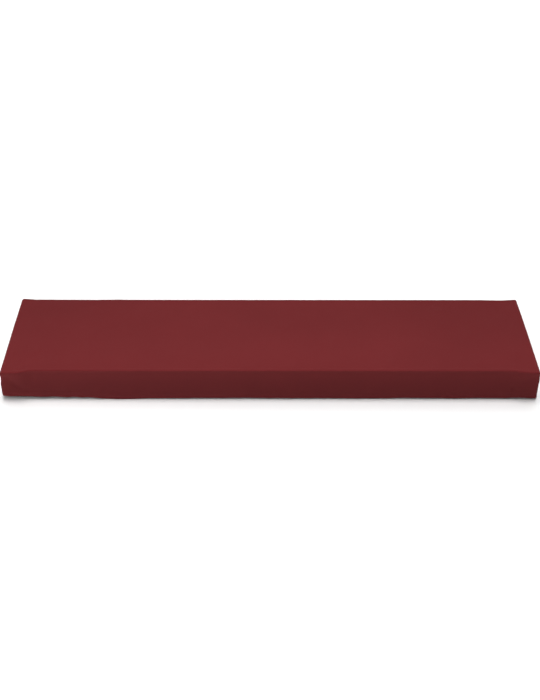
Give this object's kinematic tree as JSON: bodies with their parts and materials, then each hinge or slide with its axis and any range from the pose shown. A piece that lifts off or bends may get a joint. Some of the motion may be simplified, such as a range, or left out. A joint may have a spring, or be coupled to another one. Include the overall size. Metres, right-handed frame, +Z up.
{
  "type": "keyboard dust cover",
  "caption": "Fitted stretch-cloth dust cover for a full-length stage piano: a flat top panel with four low sewn walls and an elastic hem, open underneath",
  "frame": {"origin": "underside centre of the top panel, where the cloth lies on the instrument", "axes": "+X along the keyboard to the treble end, the player's side is -Y, +Z up"},
  "size_m": [1.2954, 0.356, 0.0816],
  "materials": {
    "top_cloth": "dark red matte stretch knit, smooth, with a faint sheen at grazing angles",
    "wall_cloth": "the same dark red matte stretch knit, seen as the skirt"
  },
  "bodies": {
    "root": {"top_panel": "top_cloth", "front_panel": "wall_cloth", "back_panel": "wall_cloth", "left_panel": "wall_cloth", "right_panel": "wall_cloth"}
  },
  "joints": []
}
